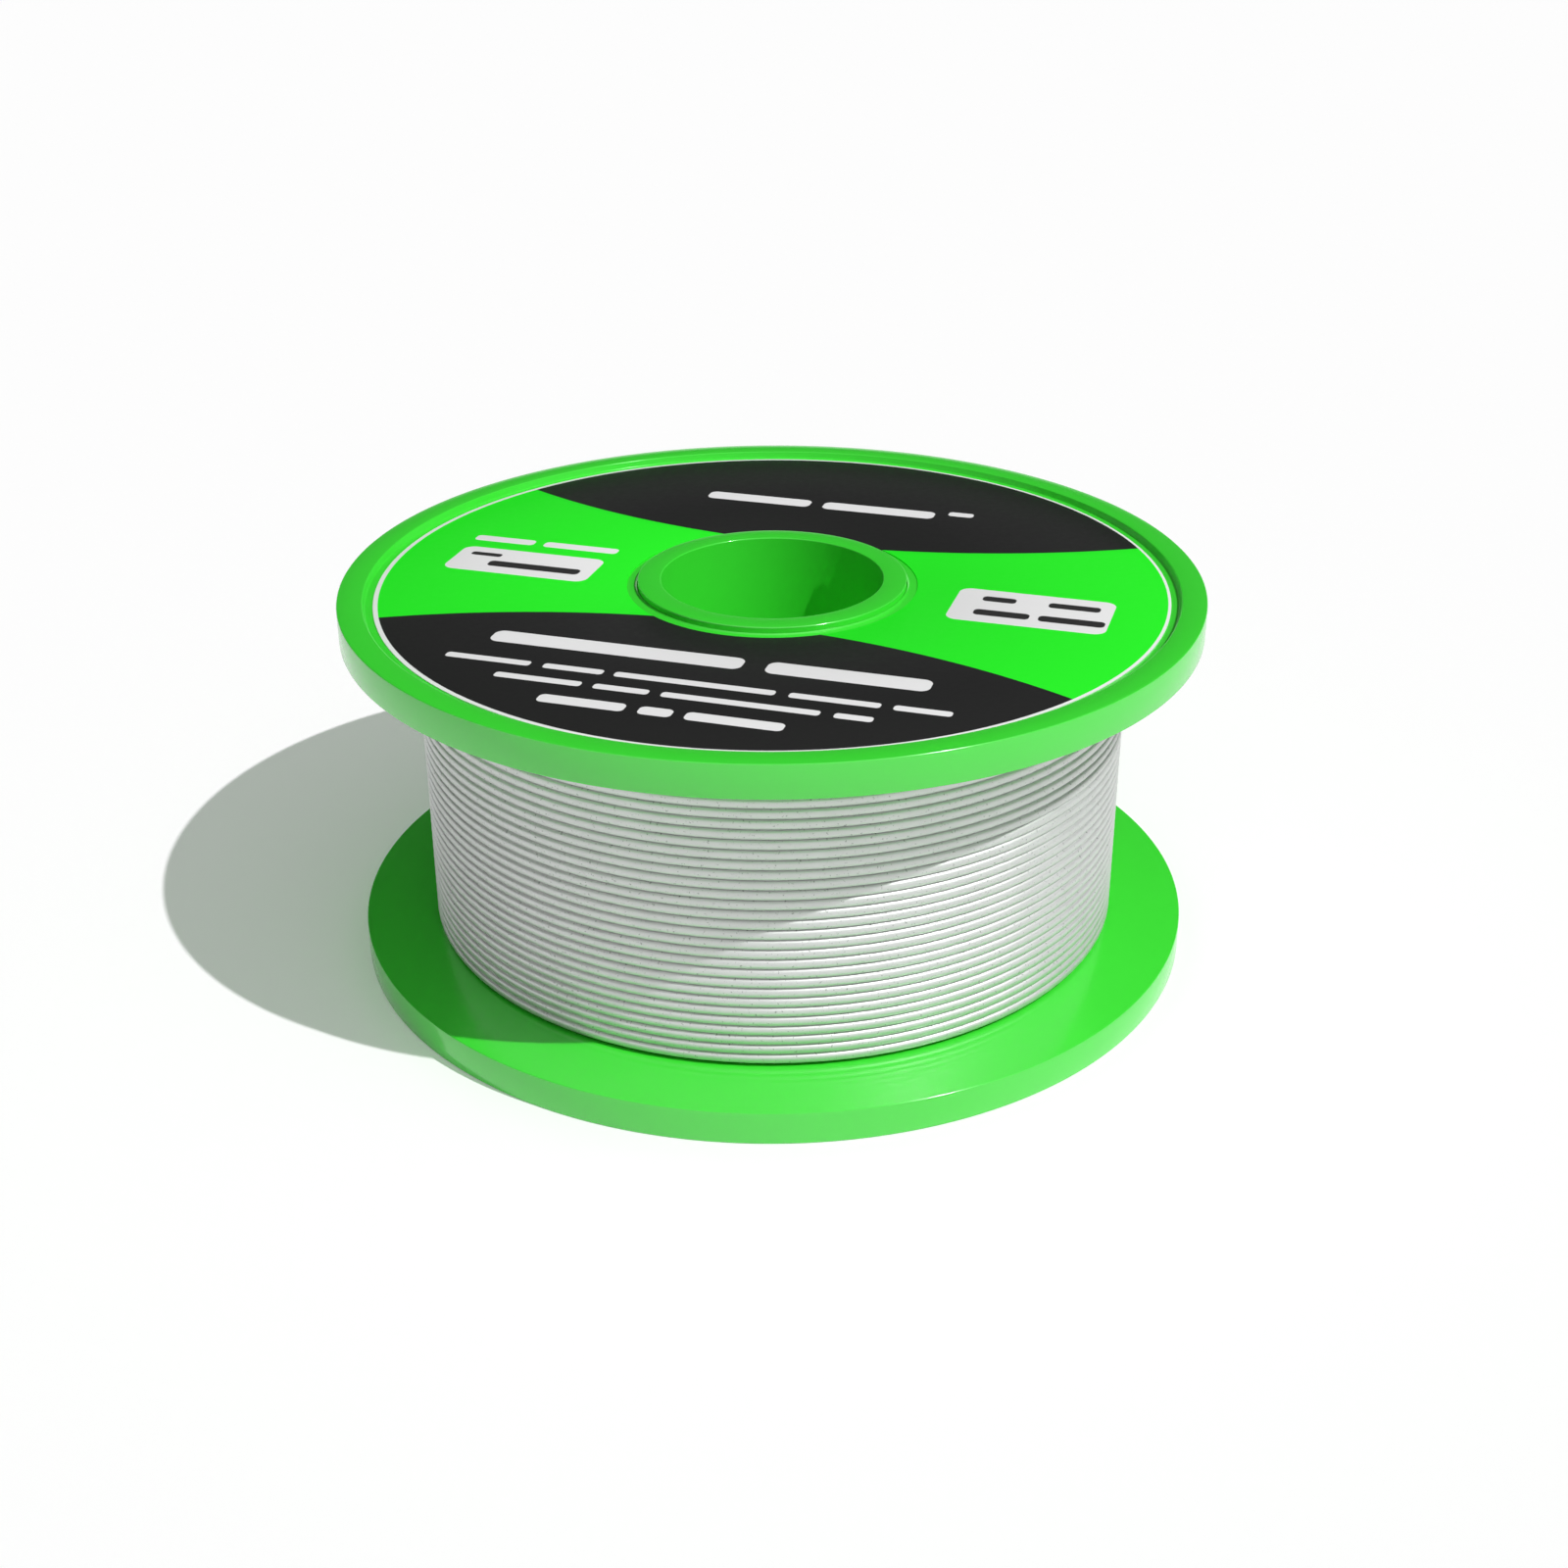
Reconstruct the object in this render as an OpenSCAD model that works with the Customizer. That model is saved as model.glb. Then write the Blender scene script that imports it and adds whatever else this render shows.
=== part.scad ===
// Solder wire spool: two moulded flanges on a splined bore tube, the barrel between
// them, a printed label in the upper flange, and cored solder wire wound on the barrel.
// Millimetres, +Z up along the bore, origin at the centre of the base.

/* [Overall] */
// Height over both flanges, along the bore
height = 39; // [34:0.5:48]

/* [Flanges] */
// Outside diameter of both flanges
flange_d = 88; // [82:0.5:96]
// Thickness of a flange at its rim
flange_t = 3.4; // [3:0.1:4.2]
// Width of the flat rim that stands round the label seat
rim_w = 2.55; // [1.6:0.05:3.6]
// Depth of the label seat below the rim
seat_depth = 0.74; // [0.5:0.02:1]
// How far the foot of the rim's inner wall stands in from its top edge
rim_draft = 0.18; // [0.06:0.02:0.4]
// Bevel on the outer edges of a flange
flange_bevel = 0.25; // [0.1:0.05:0.5]
// Fillet round the collar's foot, on the seat
collar_fillet = 0.2; // [0.1:0.05:0.4]

/* [Hub] */
// Diameter of the bore
bore_d = 22.8; // [18:0.2:27]
// Wall of the bore tube, whose ends show as a collar
tube_wall = 2.4; // [1.6:0.1:3]
// Bevel on the four edges of the bore tube
tube_bevel = 0.2; // [0.1:0.05:0.3]
// Height of the splines between the bore tube and the barrel
spline_h = 0.95; // [0.7:0.05:1.6]
// Width of a spline
spline_w = 1.2; // [0.8:0.1:1.6]
// Number of splines on the bore tube
spline_count = 8; // [6:1:12]
// Wall of the winding barrel
barrel_wall = 1.2; // [0.9:0.1:2]
// Depth of the groove in each flange that takes the barrel's end
groove_depth = 1.2; // [0.8:0.1:1.6]
// Width of the keys that stop the barrel turning in its grooves
key_w = 3; // [2:0.1:4]
// Number of keys in each groove
key_count = 3; // [3:1:5]
// Diameter of the hole that takes the start of the wire
start_hole_d = 2.4; // [1.8:0.1:3]

/* [Solder] */
// Diameter of the solder wire
wire_d = 1; // [0.8:0.05:1.2]
// Diameter of the flux core in the wire
flux_d = 0.37; // [0.3:0.01:0.45]
// Outside diameter of the winding
winding_d = 73; // [60:0.5:76]

/* [Label] */
// Thickness of the label
label_t = 0.12; // [0.1:0.01:0.2]
// Free ring of seat between the label and the foot of the rim
label_gap = 0.82; // [0.4:0.02:1.5]
// Free ring of seat between the collar and the label
label_ledge = 1.1; // [0.6:0.05:2]
// White border round the printed face
border_w = 0.5; // [0.2:0.05:1]
// Turn of the printed face about the bore
label_turn = -17; // [-180:1:180]
// Radius of the arcs that edge the two dark fields
field_r = 73.3; // [66:0.1:80]
// Half the width of the green band at its waist
band_half = 11.7; // [8:0.1:14]

/* [Hidden] */
$fn = 128;

// Clearances
fit = 0.05;             // between the moulded pieces, on the radius
wound_clear = 0.05;     // between the wire's layers, and to the barrel
side_clear = 0.1;       // between the winding and the flanges
cut = 1;                // how far a cut runs out of the solid

// Hub, worked out from the bore
bore_r = bore_d / 2;
tube_r = bore_r + tube_wall;
barrel_in_r = tube_r + spline_h + fit;
barrel_r = barrel_in_r + barrel_wall;
inner_face = height - flange_t;     // inner face of the upper flange

// Flanges
flange_r = flange_d / 2;
rim_top_r = flange_r - rim_w;
rim_foot_r = rim_top_r - rim_draft;
seat_z = flange_t - seat_depth;
start_hole_r = start_hole_d / 2;
start_hole_at = barrel_r + start_hole_r + 0.6;
start_tail_end = 0.3;               // how deep the wire's start stays in its hole

// Winding: a plain core, and an outer layer that is one tube of flat-sided loops
loop_rings = 24;
tube_sides = 6;
most_turns = 24;
turn_gap = 0.42;                    // least gap between two turns
wire_r = wire_d / 2;
wire_half_w = wire_r * cos(180 / tube_sides);
winding_r = winding_d / 2;
turn_r = winding_r - wire_r;        // radius of the wire's centre line
core_r = (winding_r - wire_d) * cos(180 / loop_rings) - wound_clear;
first_z = flange_t + side_clear + wire_half_w;
last_z = inner_face - side_clear - wire_half_w;
turns = min(most_turns, floor((last_z - first_z) / (2 * wire_half_w + turn_gap)));
pitch = (last_z - first_z) / turns;
end_angle = 90;                     // both ends of the layer are at the back
bend_r = wire_d;                    // bend where the layer comes up out of the core
tail_l = 2 * wire_d;                // straight run of the free end
pocket_floor = turn_r - bend_r - wire_d;

// Flux core, open to view at the cut end of the wire
flux_r = flux_d / 2;
flux_l = 1.5 * wire_d;
flux_hole_r = (flux_r + 0.01) / cos(180 / tube_sides);

// Label
label_z = height - seat_depth;
label_r = rim_foot_r - label_gap;
label_hole_r = tube_r + label_ledge;
ink_t = 0.02;
left_box = [16.3, 6.2];
left_box_at = [-26.8, -2.2];
right_box = [16.1, 8.4];
right_box_at = [27.1, 0];
box_corner = 1.2;

// A flange, inner face down at z = 0 and label seat up

module flange_blank() {
    rotate_extrude()
        polygon([
            [tube_r + fit, 0],
            [flange_r - flange_bevel, 0],
            [flange_r, flange_bevel],
            [flange_r, flange_t - flange_bevel],
            [flange_r - flange_bevel, flange_t],
            [rim_top_r, flange_t],
            [rim_foot_r, seat_z],
            [tube_r + fit + collar_fillet, seat_z],
            [tube_r + fit, seat_z + collar_fillet],
        ]);
}

// Radial bars at the keys' places, from the bore tube past the barrel
module key_bars(width, depth) {
    for (i = [0 : key_count - 1])
        rotate([0, 0, end_angle + i * 360 / key_count])
            translate([tube_r, -width / 2, -cut])
                cube([barrel_r - tube_r + cut, width, depth + cut]);
}

module barrel_groove() {
    difference() {
        translate([0, 0, -cut])
            linear_extrude(groove_depth + cut)
                ring(barrel_r + fit, barrel_in_r - fit);
        key_bars(key_w, groove_depth + cut);
    }
}

module flange() {
    difference() {
        flange_blank();
        barrel_groove();
        rotate([0, 0, end_angle])
            translate([start_hole_at, 0, -cut])
                cylinder(r = start_hole_r, h = flange_t + 2 * cut);
    }
}

module ring(outer_r, inner_r) {
    difference() {
        circle(r = outer_r);
        circle(r = inner_r);
    }
}

module upper_flange() {
    color("limegreen")
        translate([0, 0, inner_face])
            flange();
}

// The same moulding turned over
module lower_flange() {
    color("limegreen")
        translate([0, 0, flange_t])
            rotate([0, 180, 0])
                flange();
}

module winding_barrel() {
    length = height - 2 * (flange_t - groove_depth);
    color("limegreen")
        translate([0, 0, flange_t - groove_depth])
            difference() {
                linear_extrude(length)
                    ring(barrel_r, barrel_in_r);
                key_bars(key_w + 2 * fit, groove_depth);
                translate([0, 0, length])
                    rotate([0, 180, 0])
                        key_bars(key_w + 2 * fit, groove_depth);
            }
}

module bore_tube() {
    color("limegreen") {
        rotate_extrude()
            polygon([
                [bore_r, tube_bevel],
                [bore_r + tube_bevel, 0],
                [tube_r - tube_bevel, 0],
                [tube_r, tube_bevel],
                [tube_r, height - tube_bevel],
                [tube_r - tube_bevel, height],
                [bore_r + tube_bevel, height],
                [bore_r, height - tube_bevel],
            ]);
        for (i = [0 : spline_count - 1])
            rotate([0, 0, i * 360 / spline_count])
                translate([tube_r - tube_wall / 2, -spline_w / 2, flange_t])
                    cube([spline_h + tube_wall / 2, spline_w, inner_face - flange_t]);
    }
}

// The layers under the outer one, with the notch that the outer layer comes up out of
// and the start of the wire, which stands in the lower flange's hole
module inner_winding() {
    foot = flange_t + side_clear;
    tail = foot - seat_depth - start_tail_end;
    color("lightgray") {
        difference() {
            translate([0, 0, foot])
                linear_extrude(inner_face - side_clear - foot)
                    ring(core_r, barrel_r + wound_clear);
            rotate([0, 0, end_angle])
                translate([pocket_floor, -bend_r - wire_r - fit, foot - cut])
                    cube([winding_r - pocket_floor, bend_r + 0.2 * wire_d, 2 * wire_half_w + fit + cut]);
        }
        rotate([0, 0, end_angle])
            translate([start_hole_at, 0, foot - tail])
                cylinder(r = wire_r, h = tail + cut);
    }
}

// Outer layer. A ring of the tube lies round centre c, in the plane of u and +Z.
function tube_ring(c, u, r) = [
    for (k = [0 : tube_sides - 1])
        let (a = k * 360 / tube_sides)
            c + r * (cos(a) * u + sin(a) * [0, 0, 1])
];

function outward(a) = [cos(a), sin(a), 0];
function onward(a) = [-sin(a), cos(a), 0];

// From the pocket's floor straight out, then round the bend (b from 0 to 90) into the helix
function rise_ring(straight, b) =
    let (
        u = sin(b) * outward(end_angle) - cos(b) * onward(end_angle),
        bend_centre = (turn_r - bend_r) * outward(end_angle) + [0, 0, first_z]
    )
        tube_ring(bend_centre + bend_r * u - straight * outward(end_angle), u, wire_r);

function turn_ring(i) =
    let (a = end_angle + i * 360 / loop_rings)
        tube_ring(turn_r * outward(a) + [0, 0, first_z + pitch * i / loop_rings], outward(a), wire_r);

function tail_ring(run, r) =
    tube_ring(turn_r * outward(end_angle) + run * onward(end_angle) + [0, 0, last_z],
              outward(end_angle), r);

rings = [
    rise_ring(wire_d, 0),
    for (b = [0 : 30 : 60])
        rise_ring(0, b),
    for (i = [0 : turns * loop_rings])
        turn_ring(i),
    tail_ring(tail_l, wire_r),
    tail_ring(tail_l, flux_hole_r),
    tail_ring(tail_l - flux_l, flux_hole_r),
];

// Gap between each ring and the rings one turn further on, from point to point
least_gap = min([
    for (i = [0 : len(rings) - loop_rings - 4])
        for (j = [i + loop_rings - 1 : i + loop_rings + 1])
            for (p = rings[i])
                for (q = rings[j])
                    norm(p - q)
]);
echo(turns = turns, pitch = pitch, least_gap = least_gap);

module tube_through(rings) {
    n = tube_sides;
    last = (len(rings) - 1) * n;
    polyhedron(
        points = [for (r = rings) for (p = r) p],
        faces = [
            for (k = [1 : n - 2])
                [0, k + 1, k],
            for (i = [0 : len(rings) - 2])
                for (k = [0 : n - 1])
                    let (a = i * n + k, b = i * n + (k + 1) % n)
                        each [[a, b, b + n], [a, b + n, a + n]],
            for (k = [1 : n - 2])
                [last, last + k, last + k + 1],
        ]
    );
}

module outer_turns() {
    color("lightgray")
        tube_through(rings);
}

module flux_core() {
    color("goldenrod")
        rotate([0, 0, end_angle])
            translate([turn_r, tail_l - flux_l, last_z])
                rotate([-90, 0, 0])
                    cylinder(r = flux_r, h = flux_l);
}

// Printed face of the label, seen from above
module dark_fields() {
    intersection() {
        ring(label_r - border_w, label_hole_r);
        for (side = [-1, 1])
            translate([0, side * (band_half + field_r)])
                circle(r = field_r);
    }
}

module text_box(size, place) {
    corner = size / 2 - [box_corner, box_corner];
    translate(place) {
        for (x = [-1, 1])
            for (y = [-1, 1])
                translate([x * corner.x, y * corner.y])
                    circle(r = box_corner);
        square([size.x, 2 * corner.y], center = true);
        square([2 * corner.x, size.y], center = true);
    }
}

module front_label() {
    translate([0, 0, label_z])
        rotate([0, 0, label_turn]) {
            color("white")
                linear_extrude(label_t)
                    ring(label_r, label_hole_r);
            color([0.16, 0.91, 0.16])
                linear_extrude(label_t + ink_t)
                    ring(label_r - border_w, label_hole_r);
            color([0.16, 0.16, 0.16])
                linear_extrude(label_t + 2 * ink_t)
                    dark_fields();
            color([0.9, 0.9, 0.9])
                linear_extrude(label_t + 2 * ink_t) {
                    text_box(left_box, left_box_at);
                    text_box(right_box, right_box_at);
                }
        }
}

lower_flange();
upper_flange();
winding_barrel();
bore_tube();
inner_winding();
outer_turns();
flux_core();
front_label();
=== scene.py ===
"""Looks of the solder wire spool: moulded green plastic, a printed label and bright solder wire.

Metres, +Z up along the bore. Every new piece stands where the solid that it replaces is.
"""

import math

import bpy
from mathutils import Matrix


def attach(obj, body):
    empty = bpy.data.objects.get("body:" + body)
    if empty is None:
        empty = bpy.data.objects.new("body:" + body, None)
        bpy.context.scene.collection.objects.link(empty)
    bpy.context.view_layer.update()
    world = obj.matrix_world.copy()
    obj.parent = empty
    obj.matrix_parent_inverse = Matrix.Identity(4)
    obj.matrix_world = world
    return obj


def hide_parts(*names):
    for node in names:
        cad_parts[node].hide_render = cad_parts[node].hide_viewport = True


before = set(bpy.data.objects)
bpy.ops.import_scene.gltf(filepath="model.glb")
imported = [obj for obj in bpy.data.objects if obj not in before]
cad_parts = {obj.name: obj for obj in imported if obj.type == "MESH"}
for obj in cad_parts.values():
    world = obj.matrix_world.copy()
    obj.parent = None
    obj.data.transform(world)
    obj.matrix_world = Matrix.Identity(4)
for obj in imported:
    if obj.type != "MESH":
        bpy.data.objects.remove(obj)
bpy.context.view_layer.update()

MM = 0.001
BACK = math.radians(90)             # where the wire ends and the first key stands

# Sizes of the moulded pieces, the label and the wire
height = 39 * MM
flange_r = 44 * MM
flange_t = 3.4 * MM
rim_top_r = 41.45 * MM
rim_foot_r = 41.27 * MM
seat_depth = 0.74 * MM
edge_round = 0.12 * MM
collar_fillet = 0.2 * MM
bore_r = 11.4 * MM
tube_r = 13.8 * MM
tube_round = 0.12 * MM
spline_h = 0.95 * MM
spline_w = 1.2 * MM
spline_root = 1 * MM                # how far a spline reaches into the tube's wall
spline_count = 8
groove_in_r = 14.75 * MM
groove_out_r = 16.05 * MM
groove_depth = 1.2 * MM
key_w = 3 * MM
key_root = 0.25 * MM                # how far a key reaches into the groove's walls
key_base = 0.22 * MM                # and into its floor
key_setback = 0.02 * MM
key_count = 3
fit = 0.05 * MM
start_hole_r = 1.2 * MM
start_hole_at = 17.8 * MM
label_hole_r = 14.9 * MM
label_r = 40.45 * MM
label_t = 0.12 * MM
label_edge = 0.02 * MM
label_z = height - seat_depth
wire_r = 0.519 * MM
wire_corner = 0.42 * MM             # the turns press each other a little square
wire_pitch = 1.042 * MM
wire_turns = 30
turn_r = 35.98 * MM
first_turn_z = 4.17 * MM
last_turn_z = first_turn_z + (wire_turns - 1) * wire_pitch
bend_r = 1 * MM
bend_steps = 4
rise_l = 1 * MM
tail_l = 2 * MM
cut_round = 0.05 * MM
layer_pitch = wire_pitch * math.cos(math.radians(30))
inner_layers = 21
core_in_r = 16.1 * MM
start_end_z = 1.04 * MM
start_edge = 0.06 * MM
flux_r = 0.185 * MM
flux_edge = 0.04 * MM
flux_hole_r = 0.2 * MM
flux_depth = 1.5 * MM

ROUND = 256                         # steps in the flanges and the bore tube
LAYER_STEPS = 64                    # steps in the layers that lie hidden
MERGE = 0.002 * MM                  # points closer than this are one
SHARP = 35                          # degrees: a sharper edge is rounded, and shaded as an edge
SHARP_WIRE = 60                     # the same on wire, whose faces are few


# ---------------------------------------------------------------- modelling

def start(add, **where):
    """A new primitive, alone selected, with its place in its mesh."""
    if bpy.context.object and bpy.context.object.mode != "OBJECT":
        bpy.ops.object.mode_set(mode="OBJECT")
    bpy.ops.object.select_all(action="DESELECT")
    add(**where)
    bpy.ops.object.transform_apply(location=True, rotation=True, scale=True)
    return bpy.context.object


def edit(piece):
    only(piece)
    bpy.ops.object.mode_set(mode="EDIT")
    bpy.ops.mesh.select_mode(type="VERT")


def leave():
    bpy.ops.object.mode_set(mode="OBJECT")


def only(*pieces):
    bpy.ops.object.select_all(action="DESELECT")
    for piece in pieces:
        piece.select_set(True)
    bpy.context.view_layer.objects.active = pieces[0]


def close_shell():
    """Closes the seams of the mesh in edit mode and turns its faces outwards."""
    bpy.ops.mesh.select_all(action="SELECT")
    bpy.ops.mesh.remove_doubles(threshold=MERGE)
    bpy.ops.mesh.normals_make_consistent(inside=False)


def turned(name, section, steps=ROUND, closed=True):
    """A section of (radius, height) corners, drawn point by point and spun round the bore."""
    piece = start(
        bpy.ops.mesh.primitive_circle_add,
        vertices=3, radius=MM, location=(section[0][0], 0, section[0][1]),
    )
    piece.name = name
    edit(piece)
    bpy.ops.mesh.select_all(action="SELECT")
    bpy.ops.mesh.merge(type="CENTER")
    corners = section + section[:1] if closed else section
    for (r_from, z_from), (r_to, z_to) in zip(corners, corners[1:]):
        step = (r_to - r_from, 0, z_to - z_from)
        bpy.ops.mesh.extrude_region_move(TRANSFORM_OT_translate={"value": step})
    bpy.ops.mesh.select_all(action="SELECT")
    bpy.ops.mesh.remove_doubles(threshold=MERGE)
    bpy.ops.mesh.spin(steps=steps, angle=math.tau, center=(0, 0, 0), axis=(0, 0, 1))
    close_shell()
    leave()
    return piece


def block(size, centre, turn=0.0):
    """A bar whose centre is at (out, along, up), turned about the bore."""
    piece = start(bpy.ops.mesh.primitive_cube_add, size=1, location=centre, scale=size)
    piece.rotation_euler = (0, 0, turn)
    bpy.ops.object.transform_apply(location=False, rotation=True, scale=False)
    return piece


def joined(pieces):
    only(*pieces)
    if len(pieces) > 1:
        bpy.ops.object.join()
    return bpy.context.object


def apply_modifier(piece, kind, **settings):
    only(piece)
    modifier = piece.modifiers.new(kind.lower(), kind)
    for key, value in settings.items():
        setattr(modifier, key, value)
    bpy.ops.object.modifier_apply(modifier=modifier.name)


def carve(piece, tool, operation):
    apply_modifier(piece, "BOOLEAN", object=tool, operation=operation, solver="EXACT")
    bpy.data.objects.remove(tool)


def soften(piece, width, segments=3):
    apply_modifier(
        piece, "BEVEL", width=width, segments=segments,
        limit_method="ANGLE", angle_limit=math.radians(SHARP), harden_normals=False,
    )


def smooth(piece, angle=SHARP):
    only(piece)
    bpy.ops.object.shade_smooth_by_angle(angle=math.radians(angle))


def dress(piece, material, slot, *nodes):
    piece.data.materials.clear()
    piece.data.materials.append(material)
    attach(piece, "root")
    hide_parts(*nodes)


# ---------------------------------------------------------------- materials

class Signal:
    """A socket of a material. Sums and products of signals add Math nodes."""

    def __init__(self, finish, socket):
        self.finish = finish
        self.socket = socket

    def math(self, operation, *values, clamp=False):
        settings = {"operation": operation, "use_clamp": clamp}
        return self.finish.add("ShaderNodeMath", settings, dict(enumerate(values)))["Value"]

    def __add__(self, other):
        return self.math("ADD", self, other)

    __radd__ = __add__

    def __sub__(self, other):
        return self.math("SUBTRACT", self, other)

    def __rsub__(self, other):
        return self.math("SUBTRACT", other, self)

    def __mul__(self, other):
        return self.math("MULTIPLY", self, other)

    __rmul__ = __mul__

    def __rtruediv__(self, other):
        return self.math("DIVIDE", other, self)

    def __pow__(self, other):
        return self.math("POWER", self, other)

    def __abs__(self):
        return self.math("ABSOLUTE", self)

    def at_least(self, other):
        return self.math("MAXIMUM", self, other)


class Added:
    """A node that was added: added["Fac"] is its output as a signal."""

    def __init__(self, finish, node):
        self.finish = finish
        self.node = node

    def __getitem__(self, name):
        found = [s for s in self.node.outputs if s.name == name and s.enabled]
        return Signal(self.finish, found[0])


class Finish:
    """A material's nodes, or the world's."""

    def __init__(self, owner):
        owner.use_nodes = True
        self.tree = owner.node_tree
        self.tree.nodes.clear()
        self.owner = owner

    def add(self, kind, settings=None, values=None):
        """A node, first with its settings, then with the values or links of its sockets."""
        node = self.tree.nodes.new(kind)
        for key, value in (settings or {}).items():
            setattr(node, key, value)
        for key, value in (values or {}).items():
            socket = node.inputs[key] if isinstance(key, int) else self._input(node, key)
            if isinstance(value, Signal):
                self.tree.links.new(value.socket, socket)
            else:
                socket.default_value = value
        return Added(self, node)

    @staticmethod
    def _input(node, name):
        return [s for s in node.inputs if s.name == name and s.enabled][0]

    def noise(self, place, scale, detail=2.0, roughness=0.5):
        return self.add(
            "ShaderNodeTexNoise", {},
            {"Vector": place, "Scale": scale, "Detail": detail, "Roughness": roughness},
        )["Fac"]

    def blend(self, share, first, second):
        """Colour: first where share is 0, second where it is 1."""
        settings = {"data_type": "RGBA", "clamp_factor": True}
        values = {"Factor": share, "A": first, "B": second}
        return self.add("ShaderNodeMix", settings, values)["Result"]

    def stretched(self, place, scale, turn=0.0):
        return self.add(
            "ShaderNodeMapping", {},
            {"Vector": place, "Scale": scale, "Rotation": (0, 0, turn)},
        )["Vector"]

    def bump(self, height_signal, distance, strength):
        return self.add(
            "ShaderNodeBump", {},
            {"Height": height_signal, "Distance": distance, "Strength": strength},
        )["Normal"]

    def close(self, shader, output="ShaderNodeOutputMaterial"):
        self.add(output, {}, {"Surface": shader})
        return self.owner


def finish_for(name):
    finish = Finish(bpy.data.materials.new(name))
    place = finish.add("ShaderNodeTexCoord")["Object"]
    return finish, place


def rgb(red, green, blue):
    return (red, green, blue, 1.0)


def grey(level):
    return rgb(level, level, level)


def left_matt(finish, place):
    """Where the mould's polish doesn't reach: the bore, and the walls of the label's seat."""
    fade = 0.05 * MM
    bore_reach = 0.15 * MM          # past the bore's wall, over the round of its edge
    rim_reach = 0.16 * MM           # to either side of the rim's wall, which leans
    collar_reach = 0.1 * MM         # to either side of the collar's wall
    collar_half = 0.22 * MM         # half of that wall's height between its round edges
    bore_dull = 0.5
    rim_dull = 0.85
    collar_dull = 0.85

    axes = finish.add("ShaderNodeSeparateXYZ", {}, {"Vector": place})
    flat = finish.add("ShaderNodeCombineXYZ", {}, {"X": axes["X"], "Y": axes["Y"], "Z": 0.0})
    out = finish.add("ShaderNodeVectorMath", {"operation": "LENGTH"},
                     {0: flat["Vector"]})["Value"]
    from_middle = abs(axes["Z"] - height / 2)
    seat_middle = height / 2 - seat_depth / 2

    def inside(distance, half):
        room = half - distance
        return room.math("DIVIDE", room, fade, clamp=True)

    bore = inside(out, bore_r + bore_reach)
    rim_wall = inside(abs(out - (rim_foot_r + rim_top_r) / 2), rim_reach)
    rim_wall = rim_wall * inside(abs(from_middle - seat_middle), seat_depth / 2)
    collar_wall = inside(abs(out - tube_r), collar_reach)
    collar_wall = collar_wall * inside(abs(from_middle - seat_middle), collar_half)
    return bore * bore_dull + rim_wall * rim_dull + collar_wall * collar_dull


def moulded_green():
    finish, place = finish_for("moulded_green_plastic")
    cloud = finish.noise(place, scale=90, detail=3)
    grain = finish.noise(place, scale=2600)
    rubs = finish.noise(finish.stretched(place, (1, 1, 6)), scale=700, detail=4, roughness=0.6)
    colour = finish.blend(cloud, rgb(0.032, 0.700, 0.022), rgb(0.036, 0.735, 0.026))
    shader = finish.add("ShaderNodeBsdfPrincipled", {}, {
        "Base Color": colour,
        "Roughness": 0.66 + rubs * 0.08,
        "IOR": 1.4,
        "Coat Weight": 1.0 - left_matt(finish, place),
        "Coat Roughness": 0.16,
        "Coat IOR": 1.8,
        "Normal": finish.bump(grain, distance=0.004 * MM, strength=0.5),
    })["BSDF"]
    return finish.close(shader)


def solder_metal():
    """Drawn wire. Its pattern is laid out in millimetres, along the wire and up."""
    around_mm = 36.0
    up_mm = 1000.0
    speck_gain = 14.0
    speck_from = -8.8
    speck_share = 0.75

    finish, place = finish_for("solder_wire")
    axes = finish.add("ShaderNodeSeparateXYZ", {}, {"Vector": place})
    around = finish.add("ShaderNodeMath", {"operation": "ARCTAN2"},
                        {0: axes["Y"], 1: axes["X"]})["Value"]
    along = finish.add("ShaderNodeCombineXYZ", {}, {
        "X": around * around_mm,
        "Y": axes["Z"] * up_mm,
        "Z": 0.0,
    })["Vector"]
    drawn = finish.noise(finish.stretched(along, (0.35, 6, 1)), scale=1.5, detail=3, roughness=0.6)
    cloud = finish.noise(along, scale=0.25)
    fleck = finish.noise(along, scale=3.2, roughness=0.7)
    speck = finish.add("ShaderNodeMath", {"operation": "MULTIPLY_ADD", "use_clamp": True},
                       {0: fleck, 1: speck_gain, 2: speck_from})["Value"]
    clean = finish.blend(cloud * 0.6 + drawn * 0.4, rgb(0.61, 0.62, 0.61), rgb(0.70, 0.71, 0.70))
    colour = finish.blend(speck * speck_share, clean, rgb(0.26, 0.28, 0.26))
    shader = finish.add("ShaderNodeBsdfPrincipled", {}, {
        "Base Color": colour,
        "Metallic": 0.75,
        "Roughness": 0.44 + drawn * 0.12 + speck * 0.2,
        "Normal": finish.bump(drawn, distance=0.01 * MM, strength=0.5),
    })["BSDF"]
    return finish.close(shader)


def flux_resin():
    finish, place = finish_for("flux_resin")
    cloud = finish.noise(place, scale=3000)
    colour = finish.blend(cloud, rgb(0.42, 0.20, 0.03), rgb(0.62, 0.38, 0.10))
    shader = finish.add("ShaderNodeBsdfPrincipled", {}, {
        "Base Color": colour,
        "Roughness": 0.2 + cloud * 0.1,
    })["BSDF"]
    return finish.close(shader)


# Printed face, in millimetres from the bore's axis: u to the right, v up
label_turn = math.radians(-17)
print_edge = 0.05
border_w = 0.39
border_shift = (0.09, 0.03)         # the print is a little off the cut ring's centre
field_r = 73.3                      # the dark fields' round edges
band_half = 11.7                    # half of the green band between them, at its middle
word_round = 0.35                   # of a bar's height
box_corner = 1.2

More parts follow.
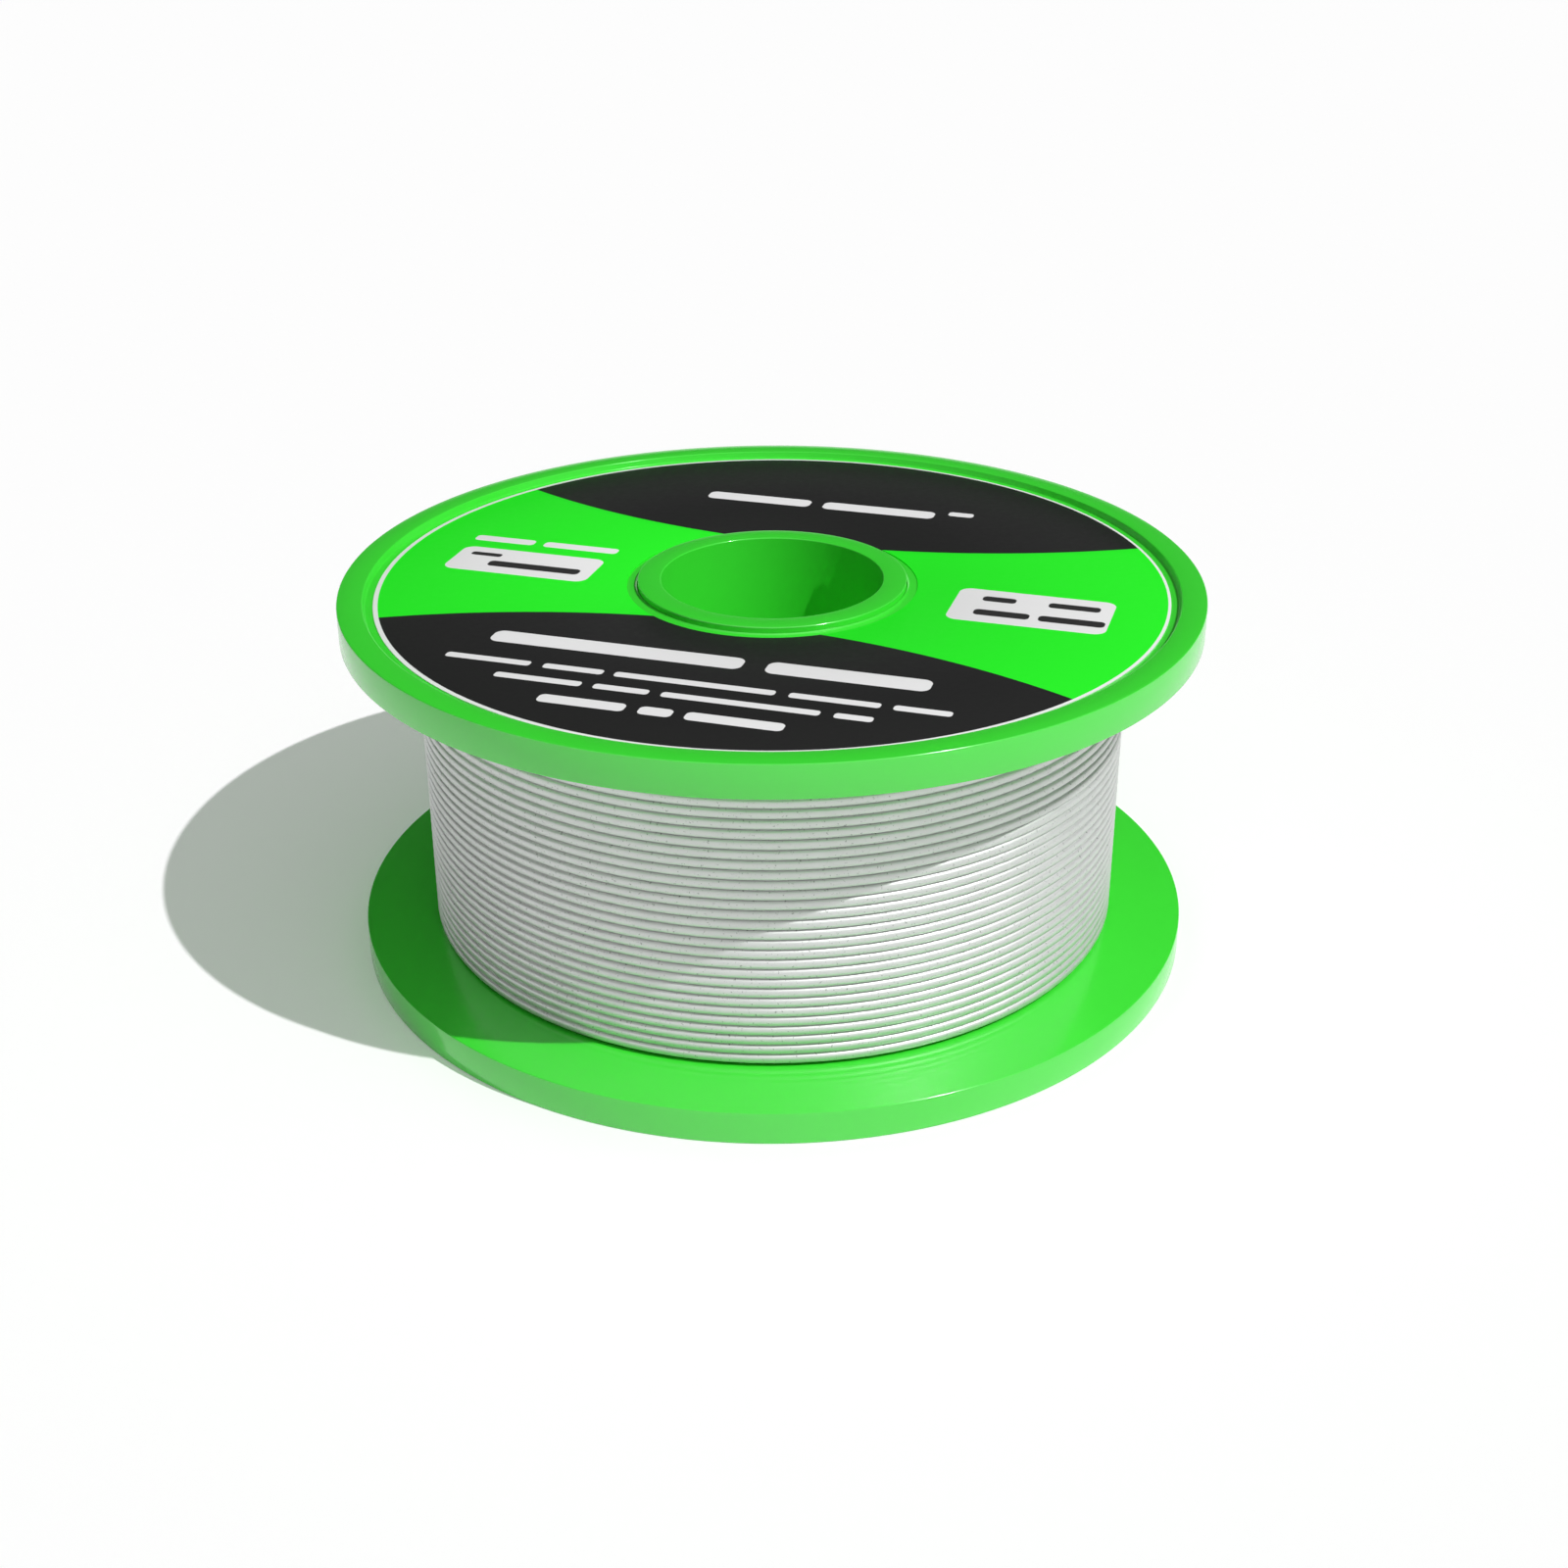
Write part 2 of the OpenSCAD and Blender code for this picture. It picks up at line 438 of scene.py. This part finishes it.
# Bars that stand where the lines of words would be: middle u and v, length, height
WORDS_PALE = [
    (-8.9, 24.4, 12.0, 2.3), (5.0, 24.4, 12.8, 2.3), (14.2, 25.5, 2.8, 1.3),
    (-31.2, 3.75, 6.8, 1.5), (-22.5, 3.75, 8.4, 1.5),
    (-9.1, -21.2, 25.4, 2.7), (13.8, -21.2, 15.8, 2.7),
    (-19.9, -26.7, 8.6, 1.1), (-11.3, -26.7, 6.0, 1.1), (0.6, -26.7, 15.6, 1.1),
    (14.0, -26.7, 8.6, 1.1), (22.2, -26.7, 5.4, 1.1),
    (-13.6, -29.8, 8.6, 1.1), (-5.4, -29.8, 5.4, 1.1), (6.0, -29.8, 15.0, 1.1),
    (16.6, -29.8, 3.6, 1.1),
    (-7.8, -33.6, 8.4, 1.7), (-0.7, -33.6, 3.2, 1.7), (6.7, -33.6, 9.2, 1.7),
]
WORDS_DARK = [
    (-31.4, -0.8, 3.4, 0.9), (-25.1, -3.1, 10.2, 1.5),
    (23.4, 1.6, 3.4, 1.3), (31.0, 1.6, 5.2, 1.3),
    (24.3, -2.1, 5.6, 1.5), (31.3, -2.1, 6.6, 1.5),
]
BOXES = [(-26.5, -2.3, 15.9, 6.7), (27.0, -0.35, 15.9, 8.6)]


def printed_label():
    finish, place = finish_for("printed_label")
    flat = finish.stretched(place, (1 / MM, 1 / MM, 1 / MM), -label_turn)
    axes = finish.add("ShaderNodeSeparateXYZ", {}, {"Vector": flat})
    u, v = axes["X"], axes["Y"]

    def within(distance):
        """1 where the distance to an edge is negative, with a fine soft edge."""
        return distance.math("MULTIPLY_ADD", distance, -1 / print_edge, 0.5, clamp=True)

    def length(across, up):
        return (across * across + up * up) ** 0.5

    def rounded(middle_u, middle_v, wide, high, corner):
        out_u = (abs(u - middle_u) - (wide / 2 - corner)).at_least(0)
        out_v = (abs(v - middle_v) - (high / 2 - corner)).at_least(0)
        return within(length(out_u, out_v) - corner)

    def bars(rows):
        marks = None
        for middle_u, middle_v, wide, high in rows:
            mark = rounded(middle_u, middle_v, wide, high, high * word_round)
            marks = mark if marks is None else marks.at_least(mark)
        return marks

    field = within(length(u, abs(v) - (band_half + field_r)) - field_r)
    inside = length(u - border_shift[0], v - border_shift[1])
    border = 1 - within(inside - (label_r / MM - border_w))
    boxes = rounded(*BOXES[0], box_corner).at_least(rounded(*BOXES[1], box_corner))

    fibre = finish.noise(place, scale=1500, detail=3)
    colour = finish.blend(field, rgb(0.018, 0.830, 0.018), grey(0.014))
    colour = finish.blend(bars(WORDS_PALE), colour, grey(0.78))
    colour = finish.blend(boxes, colour, grey(0.78))
    colour = finish.blend(bars(WORDS_DARK), colour, grey(0.022))
    colour = finish.blend(border, colour, grey(0.80))
    shader = finish.add("ShaderNodeBsdfPrincipled", {}, {
        "Base Color": colour,
        "Roughness": 0.55 + fibre * 0.1,
        "Specular IOR Level": 0.15,
        "Normal": finish.bump(fibre, distance=0.003 * MM, strength=0.4),
    })["BSDF"]
    return finish.close(shader)


# ---------------------------------------------------------------- flanges

def make_flange():
    """A flange as it is moulded: inner face down at height 0, label seat up."""
    seat_z = flange_t - seat_depth
    hole_r = tube_r + fit
    flange = turned("flange", [
        (hole_r, 0.0),
        (groove_in_r, 0.0),
        (groove_in_r, groove_depth),
        (groove_out_r, groove_depth),
        (groove_out_r, 0.0),
        (flange_r, 0.0),
        (flange_r, flange_t),
        (rim_top_r, flange_t),
        (rim_foot_r, seat_z),
        (hole_r + collar_fillet, seat_z),
        (hole_r, seat_z + collar_fillet),
    ])
    soften(flange, edge_round)
    keys = []
    size = (
        groove_out_r - groove_in_r + 2 * key_root,
        key_w,
        groove_depth + key_base - key_setback,
    )
    place = ((groove_in_r + groove_out_r) / 2, 0, key_setback + size[2] / 2)
    for i in range(key_count):
        keys.append(block(size, place, BACK + i * math.tau / key_count))
    carve(flange, joined(keys), "UNION")
    start_hole = start(
        bpy.ops.mesh.primitive_cylinder_add,
        vertices=48, radius=start_hole_r, depth=3 * flange_t,
        location=(0, start_hole_at, flange_t / 2),
    )
    carve(flange, start_hole, "DIFFERENCE")
    smooth(flange)
    return flange


plastic = moulded_green()
upper_flange = make_flange()
lower_flange = upper_flange.copy()
lower_flange.data = upper_flange.data.copy()
bpy.context.scene.collection.objects.link(lower_flange)

only(upper_flange)
upper_flange.location.z = height - flange_t
bpy.ops.object.transform_apply(location=True, rotation=False, scale=False)
only(lower_flange)
lower_flange.rotation_euler = (0, math.pi, 0)
lower_flange.location.z = flange_t
bpy.ops.object.transform_apply(location=True, rotation=True, scale=False)
upper_flange.name = "moulded_flange_upper"
lower_flange.name = "moulded_flange_lower"
dress(upper_flange, plastic, "spool_plastic", "upper_flange")
dress(lower_flange, plastic, "spool_plastic", "lower_flange")

# ---------------------------------------------------------------- bore tube

tube = turned("splined_bore_tube", [
    (bore_r, 0.0),
    (tube_r, 0.0),
    (tube_r, height),
    (bore_r, height),
])
soften(tube, tube_round, 4)
splines = []
spline_size = (spline_h + spline_root, spline_w, height - 2 * flange_t)
spline_place = (tube_r + spline_h - spline_size[0] / 2, 0, height / 2)
for i in range(spline_count):
    splines.append(block(spline_size, spline_place, i * math.tau / spline_count))
carve(tube, joined(splines), "UNION")
smooth(tube)
dress(tube, plastic, "spool_plastic", "bore_tube")

# ---------------------------------------------------------------- label

label = turned("printed_ring_label", [
    (label_hole_r, label_z),
    (label_r, label_z),
    (label_r, label_z + label_t),
    (label_hole_r, label_z + label_t),
])
soften(label, label_edge, 2)
smooth(label)
dress(label, printed_label(), "label_paper", "front_label")

# ---------------------------------------------------------------- outer layer of wire

# Each turn lies level and steps up to the next behind, just past where the wire ends.
# Blender's spin and rotate turn clockwise, so the wire, which goes the other way, has minus signs.
level_angle = math.radians(330)
level_steps = 88
step_angle = math.tau - level_angle
step_steps = 8
wire_start = BACK + step_angle


def pick_open_end(piece, upper):
    """In edit mode, selects the upper or the lower open end of a tube, and nothing else."""
    bpy.ops.mesh.select_all(action="DESELECT")
    bpy.ops.mesh.select_non_manifold(use_non_contiguous=False, use_multi_face=False)
    leave()
    middle = (first_turn_z + last_turn_z) / 2
    for edge in piece.data.edges:
        tip = piece.data.vertices[edge.vertices[0]].co
        edge.select = edge.select and (tip.z > middle) == upper
    for vertex in piece.data.vertices:
        vertex.select = vertex.select and (vertex.co.z > middle) == upper
    bpy.ops.object.mode_set(mode="EDIT")


def draw_on(shift=(0, 0, 0), angle=0.0, centre=(0, 0, 0)):
    """Draws the selected ring on by a shift and a turn round an upright axis."""
    bpy.ops.mesh.extrude_region_move(TRANSFORM_OT_translate={"value": shift})
    if angle:
        bpy.ops.transform.rotate(value=angle, orient_axis="Z", center_override=centre)


# One turn, copied upwards
wire = start(
    bpy.ops.mesh.primitive_circle_add,
    vertices=4, radius=wire_r * math.sqrt(2), rotation=(math.pi / 2, math.pi / 4, 0),
    location=(turn_r, 0, first_turn_z),
)
wire.name = "outer_wire_turns"
edit(wire)
bpy.ops.mesh.select_all(action="SELECT")
bpy.ops.mesh.bevel(offset=wire_corner, segments=4, affect="VERTICES", clamp_overlap=False)
leave()
wire.rotation_euler = (0, 0, wire_start)
bpy.ops.object.transform_apply(location=False, rotation=True, scale=False)
edit(wire)
bpy.ops.mesh.select_all(action="SELECT")
bpy.ops.mesh.spin(steps=level_steps, angle=-level_angle, center=(0, 0, 0), axis=(0, 0, 1))
for i in range(step_steps):
    eased = [(1 - math.cos(math.pi * k / step_steps)) / 2 for k in (i, i + 1)]
    draw_on((0, 0, wire_pitch * (eased[1] - eased[0])), -step_angle / step_steps)
leave()
apply_modifier(
    wire, "ARRAY", count=wire_turns - 1, use_relative_offset=False,
    use_constant_offset=True, constant_offset_displace=(0, 0, wire_pitch),
    use_merge_vertices=True, merge_threshold=MERGE,
)

# The last turn, and the free end with its cut face and the hollow for the flux
edit(wire)
pick_open_end(wire, upper=True)
bpy.ops.mesh.spin(steps=level_steps, angle=-level_angle, center=(0, 0, 0), axis=(0, 0, 1))
tail_at = (0, turn_r, last_turn_z)
draw_on((-(tail_l - cut_round), 0, 0))
draw_on((-cut_round, 0, 0))
narrow = 1 - cut_round / wire_r
bpy.ops.transform.resize(value=(narrow, narrow, narrow), center_override=tail_at)
bpy.ops.transform.translate(value=(-tail_l * (1 - narrow), 0, 0))
draw_on()
hollow = flux_hole_r / (wire_r - cut_round)
tail_tip = (-tail_l, turn_r, last_turn_z)
bpy.ops.transform.resize(value=(1, hollow, hollow), center_override=tail_tip)
draw_on((flux_depth, 0, 0))
bpy.ops.mesh.edge_face_add()

# The start of the wire comes up out of the layers below and bends into the first turn
pick_open_end(wire, upper=False)
out = (math.cos(wire_start), math.sin(wire_start))
bend_at = (out[0] * (turn_r - bend_r), out[1] * (turn_r - bend_r), first_turn_z)
for i in range(bend_steps):
    draw_on(angle=math.radians(90) / bend_steps, centre=bend_at)
draw_on((-out[0] * rise_l, -out[1] * rise_l, 0))
bpy.ops.mesh.edge_face_add()
close_shell()
leave()
smooth(wire, SHARP_WIRE)
solder = solder_metal()
dress(wire, solder, "solder", "outer_turns")

flux = start(
    bpy.ops.mesh.primitive_cylinder_add,
    vertices=32, radius=flux_r, depth=flux_depth, rotation=(0, math.pi / 2, 0),
    location=(-tail_l + flux_depth / 2, turn_r, last_turn_z),
)
flux.name = "flux_core_end"
soften(flux, flux_edge)
smooth(flux)
dress(flux, flux_resin(), "flux", "flux_core")

# ---------------------------------------------------------------- layers under the outer one

def arc(middle, angle_from, angle_to, step=36):
    """Points on a wire's section from one angle to another, in degrees."""
    count = max(1, round((angle_to - angle_from) / step))
    angles = [math.radians(angle_from + (angle_to - angle_from) * k / count) for k in range(count)]
    return [(middle[0] + wire_r * math.cos(a), middle[1] + wire_r * math.sin(a)) for a in angles]


def layers_section():
    """Outline of the nested layers in section: each lies in the grooves of the one below."""
    lifts = [wire_pitch / 2 * (1 - i % 2) for i in range(inner_layers)]
    radii = [turn_r - layer_pitch * (i + 1) for i in range(inner_layers)]
    points = []
    for i in reversed(range(1, inner_layers)):
        seen = (210, 330) if lifts[i] else (150, 390)
        points += arc((radii[i], first_turn_z + lifts[i]), *seen)
    points += arc((radii[0], first_turn_z + lifts[0]), 210, 450)
    for k in range(1, wire_turns - 2):
        points += arc((radii[0], first_turn_z + lifts[0] + k * wire_pitch), -90, 90)
    points += arc((radii[0], last_turn_z - lifts[0]), -90, 150)
    for i in range(1, inner_layers):
        seen = (30, 150) if lifts[i] else (-30, 210)
        points += arc((radii[i], last_turn_z - lifts[i]), *seen)
    points.append((core_in_r, last_turn_z))
    points.append((core_in_r, first_turn_z))
    return points


layers = turned("inner_wire_layers", layers_section(), LAYER_STEPS)
start_l = first_turn_z - start_end_z
stub = start(
    bpy.ops.mesh.primitive_cylinder_add,
    vertices=24, radius=wire_r, depth=start_l,
    location=(0, start_hole_at, start_end_z + start_l / 2),
)
soften(stub, start_edge, 2)
carve(layers, stub, "UNION")
notch_w = 2 * (wire_r + fit)
notch_l = bend_r + rise_l + wire_r
notch = block(
    (notch_l, notch_w, notch_w),
    (turn_r + wire_r - notch_l / 2 - fit, -bend_r, first_turn_z),
    wire_start,
)
carve(layers, notch, "DIFFERENCE")
smooth(layers, SHARP_WIRE)
dress(layers, solder, "solder", "inner_winding")

# ---------------------------------------------------------------- the solid that stays

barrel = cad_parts["winding_barrel"].data
barrel.materials.clear()
barrel.materials.append(plastic)

# ---------------------------------------------------------------- stage

lamp_place = (0.7006, -0.4505, 1.1513)
key_level = 0.72                    # share of a level white surface's light that the lamp gives
sky_level = 0.28                    # and the share that the sky gives
floor_white = 0.95
shown_white = 0.98                  # the lit floor, as it is seen
# The green share is a little lower than red and blue, so the glow that makes up the lit floor
# paints a faint green cast into the floor's shadow: painted bounce light from the green plastic
shown_share = (0.833, 0.787, 0.832) # how much of what is seen is the floor's own light and shade

floor_gap = 0.02 * MM
floor_hole_r = flange_r - 0.25 * MM # the floor is open under the spool
bore_floor_r = bore_r + 0.35 * MM
floor_near_r = 0.4
floor_far_r = 12.0
floor = turned(
    "floor", [(floor_hole_r, 0.0), (floor_near_r, 0.0), (floor_far_r, 0.0)], closed=False,
)
bore_floor = start(
    bpy.ops.mesh.primitive_circle_add,
    vertices=128, radius=bore_floor_r, fill_type="NGON", location=(0, 0, 0),
)
floor = joined([floor, bore_floor])
floor.location.z = -floor_gap
only(floor)
bpy.ops.object.transform_apply(location=True, rotation=False, scale=False)
edit(floor)
bpy.ops.mesh.select_all(action="SELECT")
bpy.ops.mesh.normals_make_consistent(inside=False)
leave()
if floor.data.polygons[0].normal.z < 0:
    floor.data.flip_normals()


def seen_by_eye(finish):
    """1 for what the camera sees, straight or in a reflection."""
    path = finish.add("ShaderNodeLightPath")
    straight = path["Is Camera Ray"]
    return straight.at_least(path["Is Glossy Ray"]).at_least(path["Is Transmission Ray"])


def studio_floor():
    """White floor, open to the eye from below. It is evened out to white for the eye alone. That
    even glow also lightens the spool's shadow on it, and gives the shadow a faint painted green
    cast that stands for light bounced off the green plastic.
    """
    finish, place = finish_for("studio_floor")
    far = finish.add("ShaderNodeVectorMath", {"operation": "DISTANCE"},
                     {0: place, 1: lamp_place})["Value"]
    lit = sky_level + (math.dist(lamp_place, (0, 0, 0)) * key_level) / far
    own = finish.add("ShaderNodeVectorMath", {"operation": "SCALE"},
                     {0: shown_share, "Scale": lit})["Vector"]
    missing = finish.add("ShaderNodeVectorMath", {"operation": "SUBTRACT"},
                         {0: (shown_white, shown_white, shown_white), 1: own})["Vector"]
    missing = finish.add("ShaderNodeVectorMath", {"operation": "MAXIMUM"},
                         {0: missing, 1: (0, 0, 0)})["Vector"]
    seen = seen_by_eye(finish)
    colour = finish.blend(seen, grey(floor_white), rgb(*shown_share))
    diffuse = finish.add("ShaderNodeBsdfDiffuse", {}, {"Color": colour})["BSDF"]
    glow = finish.add("ShaderNodeEmission", {}, {"Color": missing, "Strength": seen})["Emission"]
    top = finish.add("ShaderNodeAddShader", {}, {0: diffuse, 1: glow})["Shader"]
    below = finish.add("ShaderNodeNewGeometry")["Backfacing"]
    clear = finish.add("ShaderNodeBsdfTransparent")["BSDF"]
    mixed = finish.add("ShaderNodeMixShader", {}, {0: below, 1: top, 2: clear})["Shader"]
    return finish.close(mixed)


floor.data.materials.append(studio_floor())

# One small lamp to the right, whose light doesn't weaken with distance
lamp_data = bpy.data.lights.new("key_lamp", "POINT")
lamp_data.shadow_soft_size = 8 * MM
slope = lamp_place[2] / math.dist(lamp_place, (0, 0, 0))
lamp_data.energy = key_level / slope * 4 * math.pi ** 2
lamp_finish = Finish(lamp_data)
falloff = lamp_finish.add("ShaderNodeLightFalloff", {}, {"Strength": 1.0})["Constant"]
lamp_glow = lamp_finish.add("ShaderNodeEmission", {}, {"Strength": falloff})["Emission"]
lamp_finish.close(lamp_glow, "ShaderNodeOutputLight")
lamp = bpy.data.objects.new("key_lamp", lamp_data)
lamp.location = lamp_place
bpy.context.scene.collection.objects.link(lamp)

# Sky: dim, with a wide soft light overhead and a level one from below for the underside. The eye
# sees it white: evenly where it looks straight, and in reflections as a backdrop that stands low
# behind and higher in front.
sky_low = 0.02
soft_light_towards = (0.10, -0.25, 0.963)
soft_light_width = 4
soft_light = 0.82
light_below = 0.6
light_below_fade = 20
backdrop_white = 0.98
backdrop_top = 0.20
backdrop_front = 1.1
backdrop_fade = 0.10

world = bpy.data.worlds.new("studio")
bpy.context.scene.world = world
sky = Finish(world)
direction = sky.add("ShaderNodeTexCoord")["Generated"]
axes = sky.add("ShaderNodeSeparateXYZ", {}, {"Vector": direction})
up = abs(axes["Z"])
facing = sky.add("ShaderNodeVectorMath", {"operation": "DOT_PRODUCT"},
                 {0: direction, 1: soft_light_towards})["Value"]
reach = (-1 * axes["Y"]).at_least(0) * backdrop_front + backdrop_top
backdrop = up.math("DIVIDE", reach - up, backdrop_fade, clamp=True)
straight = sky.add("ShaderNodeLightPath")["Is Camera Ray"]
shown = (backdrop * seen_by_eye(sky)).at_least(straight) * backdrop_white
below = axes["Z"].math("MULTIPLY", axes["Z"], -light_below_fade, clamp=True) * light_below
level = facing.at_least(0) ** soft_light_width * soft_light + sky_low
level = level.at_least(shown).at_least(below)
glow = sky.add("ShaderNodeBackground", {}, {"Color": grey(1), "Strength": level})["Background"]
sky.close(glow, "ShaderNodeOutputWorld")

camera_place = (0, -0.20542, 0.11783)
camera_swing = -0.00567             # turns in radians
camera_dip = 0.4635
camera_roll = -0.0019

camera_data = bpy.data.cameras.new("camera")
camera_data.lens = 49.03
camera_data.sensor_width = 36
camera_data.clip_start = 0.01
camera_data.clip_end = 60
camera = bpy.data.objects.new("camera", camera_data)
bpy.context.scene.collection.objects.link(camera)
camera.matrix_world = (
    Matrix.Translation(camera_place)
    @ Matrix.Rotation(camera_swing, 4, "Z")
    @ Matrix.Rotation(math.pi / 2 - camera_dip, 4, "X")
    @ Matrix.Rotation(camera_roll, 4, "Z")
)
bpy.context.scene.camera = camera
bpy.context.scene.view_settings.view_transform = "Standard"
